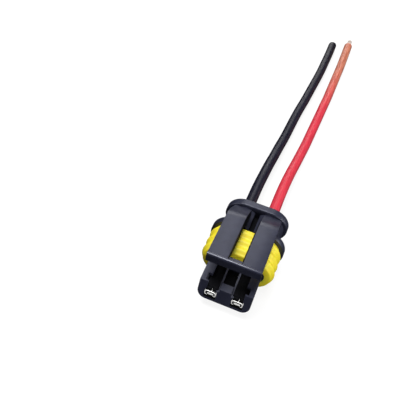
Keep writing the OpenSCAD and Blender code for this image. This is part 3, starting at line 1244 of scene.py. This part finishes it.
@dataclass
class Contact:
    """One folded contact: a box with a spring tongue, a neck, a barrel and a jacket grip."""

    frame: PlugFrame
    tin: Material
    shaded_tin: Material
    side: Side
    x: float = 3.0
    front_y: float = 0.2
    box_len: float = 8.2
    box_drop: float = 0.72
    half_w: float = 1.27
    half_h: float = 0.85
    corner: float = 0.6
    wall: float = 0.22
    mouth_edge: float = 0.07
    tongue_half_w: float = 0.70
    tongue_y: float = 0.14
    # Length and fall of the tongue's front ramp
    tongue_ramp: float = 0.22
    tongue_fall: float = 0.198
    tongue_low: float = -0.36
    tongue_t: float = 0.15
    tongue_edge: float = 0.0375
    tail_len: float = 1.0
    neck_half_w: float = 0.8
    crimp_y: float = 10.3
    crimp_r: float = 1.0
    grip_y: float = 13.7
    grip_len: float = 2.2
    grip_r: float = 1.62
    grip_bore_r: float = 1.37
    lap: float = 0.2

    def box(self) -> Object:
        """Builds the hollow box with its rounded rim and returns it."""
        y = (self.front_y, self.front_y + self.box_len)
        name = f"contact_socket_{self.side.word}"
        box = add_block(name, about(self.half_w), y, about(self.half_h))
        round_edges(box, lambda a, b: abs(a.y - b.y) > self.lap, self.corner, steps=5)
        pick_faces(box, lambda centre, normal: normal.y < -FACING)
        bpy.ops.mesh.inset(thickness=self.wall)
        extrude(0, self.box_len - self.lap, 0)
        leave_edit()
        clean(box)
        round_edges(box, lambda a, b: self.is_rim(a) and self.is_rim(b), self.mouth_edge, steps=2)
        give_finish(box, self.tin, everywhere)
        # Painted shade: near-black tin inside the box and on the lower side of its rim
        give_finish(box, self.shaded_tin, self.is_shaded)
        return box

    def is_shaded(self, centre: Vector, normal: Vector) -> bool:
        """Tells whether a face of the box is inside it, or on the lower side of its rim."""
        if centre.y <= self.front_y + self.mouth_edge:
            return centre.z < self.wall - self.half_h
        between_sides = abs(centre.x) < self.half_w - self.wall / 2
        between_floors = abs(centre.z) < self.half_h - self.wall / 2
        before_end = centre.y < self.front_y + self.box_len - self.lap / 2
        return between_sides and between_floors and before_end

    def is_rim(self, co: Vector) -> bool:
        """Tells whether a point is on the outer or inner outline of the box's front face."""
        at_side = abs(co.x) > self.half_w - self.corner - self.wall
        at_floor = abs(co.z) > self.half_h - self.wall - self.lap
        return co.y < self.front_y + SAME_PLACE and (at_side or at_floor)

    def tongue(self) -> Object:
        """Builds the spring tongue, which ramps up from the box's mouth, and returns it."""
        front = self.front_y + self.tongue_y
        ramp_end = front + self.tongue_ramp
        y = (ramp_end, front + self.box_len / 2)
        z = (self.tongue_low, self.tongue_low + self.tongue_t)
        tongue = add_block("tongue", about(self.tongue_half_w), y, z)
        pick_faces(tongue, lambda centre, normal: normal.y < -FACING)
        extrude(0, -self.tongue_ramp, -self.tongue_fall)
        leave_edit()
        soften(tongue, self.tongue_edge)
        give_finish(tongue, self.tin, everywhere)
        # Painted shade: near-black tin on the tongue behind its ramp
        give_finish(tongue, self.shaded_tin, lambda centre, normal: centre.y > ramp_end)
        return tongue

    def build(self) -> list[Object]:
        """Builds and dresses the contact.

        Returns:
            The contact.
        """
        contact = self.box()
        box_end = self.front_y + self.box_len
        neck_y = (box_end - self.lap, self.crimp_y + self.lap)
        neck_z = (-self.half_h, -self.half_h + self.wall)
        neck = add_block("neck", about(self.neck_half_w), neck_y, neck_z)
        grip_end = self.grip_y + self.grip_len
        barrel = add_rod("barrel", self.crimp_r, 0, (self.crimp_y, self.grip_y), sides=32)
        grip = add_rod("grip", self.grip_r, 0, (self.grip_y - self.wall, grip_end), sides=48)
        hollow = add_rod("hollow", self.grip_bore_r, 0, (self.grip_y, grip_end + self.lap), sides=48)
        combine(grip, [hollow], Join.CUT)
        tongue = self.tongue()
        tail_y = (box_end / 2, box_end / 2 + self.tail_len)
        tail_z = (-self.half_h + self.wall / 2, self.tongue_low + self.tongue_t / 2)
        tail = add_block("tail", about(self.tongue_half_w), tail_y, tail_z)
        combine(contact, [tongue, tail, neck], Join.ADD)
        contact.location = (0, 0, -self.box_drop)
        apply_place(contact)
        combine(contact, [barrel, grip], Join.ADD)
        clean(contact)
        contact.location = (self.side.value * self.x, 0, 0)
        apply_place(contact)
        self.frame.settle(contact)
        dress(contact, None, [f"contact_{self.side.word}"])
        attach(contact, Body.HOUSING.value)
        return [contact]


@dataclass
class StrandBundle:
    """Twisted strands at a wire's cut end."""

    name: str
    start: Point
    length: float
    strand_r: float = 0.15
    strand_edge: float = 0.05
    # How many strands each ring has, and its radius
    rings: tuple[tuple[int, float], ...] = ((1, 0.0), (6, 0.3), (12, 0.6))
    twist_deg: float = 75
    steps: int = 9
    sides: int = 10

    def strand(self, reach: float, angle: float) -> Object:
        """Builds one strand as a twisted rod.

        Args:
            reach: Distance of the strand from the bundle's axis.
            angle: Where round the axis it starts.

        Returns:
            The strand.
        """
        place = (reach * math.cos(angle), 0, reach * math.sin(angle))
        strand = add_disc("strand", self.strand_r, place, self.sides)
        pick_faces(strand, everywhere)
        turn = math.radians(self.twist_deg) / self.steps
        for _ in range(self.steps):
            extrude(0, self.length / self.steps, 0)
            bpy.ops.transform.rotate(value=turn, orient_axis="Y", center_override=(0, 0, 0))
        leave_edit()
        clean(strand)
        end = self.length - SAME_PLACE
        round_edges(strand, lambda a, b: min(a.y, b.y) > end, self.strand_edge, steps=2)
        return strand

    def build(self) -> Object:
        """Builds the whole bundle in place, in the frame's metres, and returns it."""
        strands = []
        for count, reach in self.rings:
            strands += [self.strand(reach, 2 * math.pi * i / count) for i in range(count)]
        clear_selection()
        for strand in strands:
            strand.select_set(True)
        bundle = strands[0]
        bpy.context.view_layer.objects.active = bundle
        bpy.ops.object.join()
        bundle.name = self.name
        bundle.scale = (MM, MM, MM)
        bundle.location = Vector(self.start) * MM
        apply_place(bundle)
        return bundle


@dataclass
class Wire:
    """One wire, a free cord that leaves a rear bore and lies on the surface."""

    name: str
    node: str
    jacket: WireJacket
    slot: Slot
    route_mm: Sequence[Point]
    length_mm: float
    exit_mm: Point
    diameter_mm: float = 2.7
    # Steps round the wire, and between two points of its route
    round_steps: int = 8
    route_steps: int = 8

    def build(self, end: Object) -> list[Object]:
        """Builds and dresses the wire.

        Args:
            end: The strands at its end.

        Returns:
            The wire and the strands.
        """
        curve = bpy.data.curves.new(self.name, "CURVE")
        curve.dimensions = "3D"
        curve.bevel_depth = self.diameter_mm / 2 * MM
        curve.bevel_resolution = self.round_steps
        curve.resolution_u = self.route_steps
        curve.use_fill_caps = True
        spline = curve.splines.new("BEZIER")
        spline.bezier_points.add(len(self.route_mm) - 1)
        for knot, place in zip(spline.bezier_points, self.route_mm):
            knot.co = Vector(place) * MM
            knot.handle_left_type = knot.handle_right_type = "AUTO"
        wire = bpy.data.objects.new(self.name, curve)
        bpy.context.scene.collection.objects.link(wire)
        dress(wire, self.jacket.make(), [self.node])
        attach(wire, Body.HOUSING.value)
        return [wire, end]


@dataclass
class Wires:
    """The black and the red wire, with the strands at their ends."""

    tin: Material
    copper: Material
    black_jacket: WireJacket = WireJacket(
        "black_jacket",
        dark=(0.003, 0.003, 0.009),
        light=(0.006, 0.006, 0.017),
        far_dark=(0.003, 0.003, 0.007),
        far_light=(0.006, 0.005, 0.012),
    )
    red_jacket: WireJacket = WireJacket(
        "red_jacket",
        dark=(0.45, 0.021, 0.040),
        light=(0.60, 0.038, 0.062),
        far_dark=(0.28, 0.065, 0.035),
        far_light=(0.64, 0.25, 0.16),
    )
    black_route: tuple[Point, ...] = (
        (-3, 1.5, 4.6), (-3, 7, 4.6), (-3, 12, 4.6), (-3, 17, 4.6), (-3, 22, 4.5), (-2.9, 27, 4),
        (-2.8, 32, 3.2), (-2.6, 37, 2.4), (-2.4, 42, 1.8), (-2.1, 47, 1.5), (-1.9, 52, 1.4),
        (-1.7, 57, 1.4), (-1.4, 62, 1.4), (-1, 67, 1.4), (-0.7, 72, 1.4), (-0.4, 77, 1.4),
        (-0.1, 82, 1.4), (0.1, 87, 1.4), (0.2, 92, 1.4), (0.3, 98, 1.4), (0.3, 104.4, 1.4),
    )
    red_route: tuple[Point, ...] = (
        (3, 1.5, 4.6), (3, 7, 4.6), (3, 12, 4.6), (3, 17, 4.6), (3, 22, 4.5), (3.1, 27, 4),
        (3.3, 32, 3.2), (3.6, 37, 2.4), (3.9, 42, 1.8), (4.2, 47, 1.5), (4.4, 52, 1.4),
        (4.6, 57, 1.4), (4.8, 62, 1.4), (5, 67, 1.4), (5.2, 72, 1.4), (5.3, 77, 1.4),
        (5.4, 82, 1.4), (5.5, 87, 1.4), (5.6, 92, 1.4), (5.6, 99, 1.4), (5.6, 106.8, 1.4),
    )
    black_len: float = 103.2
    red_len: float = 105.6
    rear_y: float = 12.25
    axis_height: float = 4.6
    contact_x: float = 3.0
    tip_len: float = 3.5
    cut_proud: float = 0.15
    cut_twist_deg: float = 4

    def build(self) -> list[Object]:
        """Builds and dresses both wires.

        Returns:
            The wires and the strands at their ends.
        """
        cut = StrandBundle(
            "black_wire_strands",
            self.black_route[-1],
            self.cut_proud,
            twist_deg=self.cut_twist_deg,
            steps=1,
        ).build()
        dress(cut, self.copper, [])
        tip = StrandBundle("red_wire_strands", self.red_route[-1], self.tip_len).build()
        dress(tip, self.tin, ["wire_tip"])
        for piece in (cut, tip):
            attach(piece, Body.HOUSING.value)
        black = Wire(
            "black_wire",
            "wire_black",
            self.black_jacket,
            Slot.BLACK_JACKET,
            self.black_route,
            self.black_len,
            (-self.contact_x, self.rear_y, self.axis_height),
        )
        red = Wire(
            "red_wire",
            "wire_red",
            self.red_jacket,
            Slot.RED_JACKET,
            self.red_route,
            self.red_len,
            (self.contact_x, self.rear_y, self.axis_height),
        )
        return [*black.build(cut), *red.build(tip)]


# The place where it is shown


@dataclass(frozen=True)
class Softbox:
    """One soft light, aimed at a point by the plug."""

    name: str
    place: Point
    size: Span
    watts: float

    def build(self, aim: Point) -> None:
        """Hangs the light and aims it."""
        light = bpy.data.lights.new(self.name, "AREA")
        light.shape = "RECTANGLE"
        light.size, light.size_y = self.size
        light.energy = self.watts
        lamp = bpy.data.objects.new(self.name, light)
        lamp.location = self.place
        lamp.rotation_euler = (Vector(self.place) - Vector(aim)).to_track_quat("Z", "Y").to_euler()
        bpy.context.scene.collection.objects.link(lamp)


@dataclass
class Studio:
    """A pale lit floor that throws no light on the plug, soft light from above, and the camera."""

    camera_mm: Point = (7.26, -70.01, 96.93)
    aim_mm: Point = (-14.39, 10.95, 4.55)
    roll_deg: float = 8.838
    lens_mm: float = 46.56
    sensor_mm: float = 36.0
    clip_start: float = 0.005
    floor_size: float = 3.0
    floor_drop: float = 0.0001
    floor_glow: float = 0.84
    floor_dark: Colour = (0.14, 0.14, 0.14)
    floor_light: Colour = (0.16, 0.16, 0.16)
    floor_blotch_mm: float = 40
    floor_roughness: float = 0.9
    sky: float = 0.06
    wall_tone: Colour = (0.90, 0.90, 0.90)
    light_aim: Point = (0, 0.02, 0)
    boxes: tuple[Softbox, ...] = (
        Softbox("top_box", (-0.13, 0.04, 0.62), (0.32, 0.44), 4.8),
        Softbox("rear_box", (-0.12, 0.55, 0.55), (0.36, 0.45), 1.1),
        Softbox("right_box", (0.55, 0.15, 0.22), (0.36, 0.26), 1.6),
        Softbox("left_box", (-0.55, -0.20, 0.26), (0.25, 0.25), 1.1),
        Softbox("front_fill", (0.42, -0.36, 0.22), (0.30, 0.20), 1.8),
        Softbox("low_rear_box", (-0.16, 0.78, 0.15), (0.40, 0.16), 0.8),
    )

    def build(self) -> None:
        """Builds the floor, the lights and the camera."""
        self.build_floor()
        for box in self.boxes:
            box.build(self.light_aim)
        self.build_sky()
        self.build_camera()
        bpy.context.scene.view_settings.view_transform = "Standard"

    def build_floor(self) -> None:
        """Lays the floor just under the plug."""
        clear_selection()
        bpy.ops.mesh.primitive_plane_add(size=self.floor_size, location=(0, 0, -self.floor_drop))
        floor = bpy.context.object
        floor.name = "floor"
        sheet = Sheet("pale_floor")
        blotches = sheet.noise(self.floor_blotch_mm, detail=2)
        sheet.give(Base_Color=sheet.tones(blotches, self.floor_dark, self.floor_light))
        sheet.give(Roughness=self.floor_roughness, Emission_Strength=self.floor_glow)
        floor.data.materials.append(sheet.material)
        floor.visible_diffuse = floor.visible_glossy = False

    def build_sky(self) -> None:
        """Sets an even light from all round, and a pale wall where the camera sees past the floor."""
        world = bpy.data.worlds.new("studio")
        world.use_nodes = True
        tree = world.node_tree
        light = tree.nodes["Background"]
        light.inputs["Strength"].default_value = self.sky
        wall = tree.nodes.new("ShaderNodeBackground")
        wall.inputs["Color"].default_value = (*self.wall_tone, 1)
        mix = tree.nodes.new("ShaderNodeMixShader")
        rays = tree.nodes.new("ShaderNodeLightPath")
        tree.links.new(rays.outputs["Is Camera Ray"], mix.inputs["Fac"])
        tree.links.new(light.outputs["Background"], mix.inputs[1])
        tree.links.new(wall.outputs["Background"], mix.inputs[2])
        tree.links.new(mix.outputs["Shader"], tree.nodes["World Output"].inputs["Surface"])
        bpy.context.scene.world = world

    def build_camera(self) -> None:
        """Puts up the camera at the photograph's viewing angle."""
        data = bpy.data.cameras.new("camera")
        data.lens = self.lens_mm
        data.sensor_width = self.sensor_mm
        data.clip_start = self.clip_start
        camera = bpy.data.objects.new("camera", data)
        place = Vector(self.camera_mm) * MM
        back = place - Vector(self.aim_mm) * MM
        turn = back.to_track_quat("Z", "Y") @ Quaternion((0, 0, 1), math.radians(self.roll_deg))
        camera.matrix_world = Matrix.Translation(place) @ turn.to_matrix().to_4x4()
        bpy.context.scene.collection.objects.link(camera)
        bpy.context.scene.camera = camera


def main() -> None:
    """Builds every piece of the pigtail and the studio round it."""
    logging.basicConfig(level=logging.INFO, format="%(name)s: %(message)s")
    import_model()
    Studio().build()
    frame = PlugFrame()
    plastic, silicone = MouldedPlastic().make(), Silicone().make()
    # The contacts' tin glows a little: a painted reflection of the pale floor
    tin, copper = TinPlate(painted_reflection=0.22).make(), Copper().make()
    polished = MouldedPlastic(
        "polished_plastic", roughness=(0.26, 0.30), shine=0.8, grain_height_mm=0.0002
    ).make()
    # Near-black tin that paints shade inside the contacts
    shaded_tin = TinPlate(
        "shaded_tin", dark=(0.006, 0.006, 0.007), light=(0.014, 0.014, 0.014), metallic=1
    ).make()
    warm_tin = TinPlate("warm_tin", dark=(0.42, 0.33, 0.28), light=(0.74, 0.64, 0.58)).make()
    # Near-black plastic that paints shade in the nose's recesses and the pit, on the fingers and on the
    # arms' sides
    painted_shade = MouldedPlastic(
        "shaded_plastic",
        dark=(0.0010, 0.0010, 0.0014),
        light=(0.0018, 0.0018, 0.0024),
        roughness=(0.6, 0.7),
        shine=0.08,
    ).make()
    parts = (
        Wires(warm_tin, copper),
        Housing(frame, plastic, painted_shade),
        Latch(frame, plastic, polished, painted_shade),
        Seals(frame, silicone),
        *(Contact(frame, tin, shaded_tin, side) for side in Side),
    )
    for part in parts:
        for piece in part.build():
            LOG.info("%s built %s", type(part).__name__, piece.name)


if __name__ == "__main__":
    main()
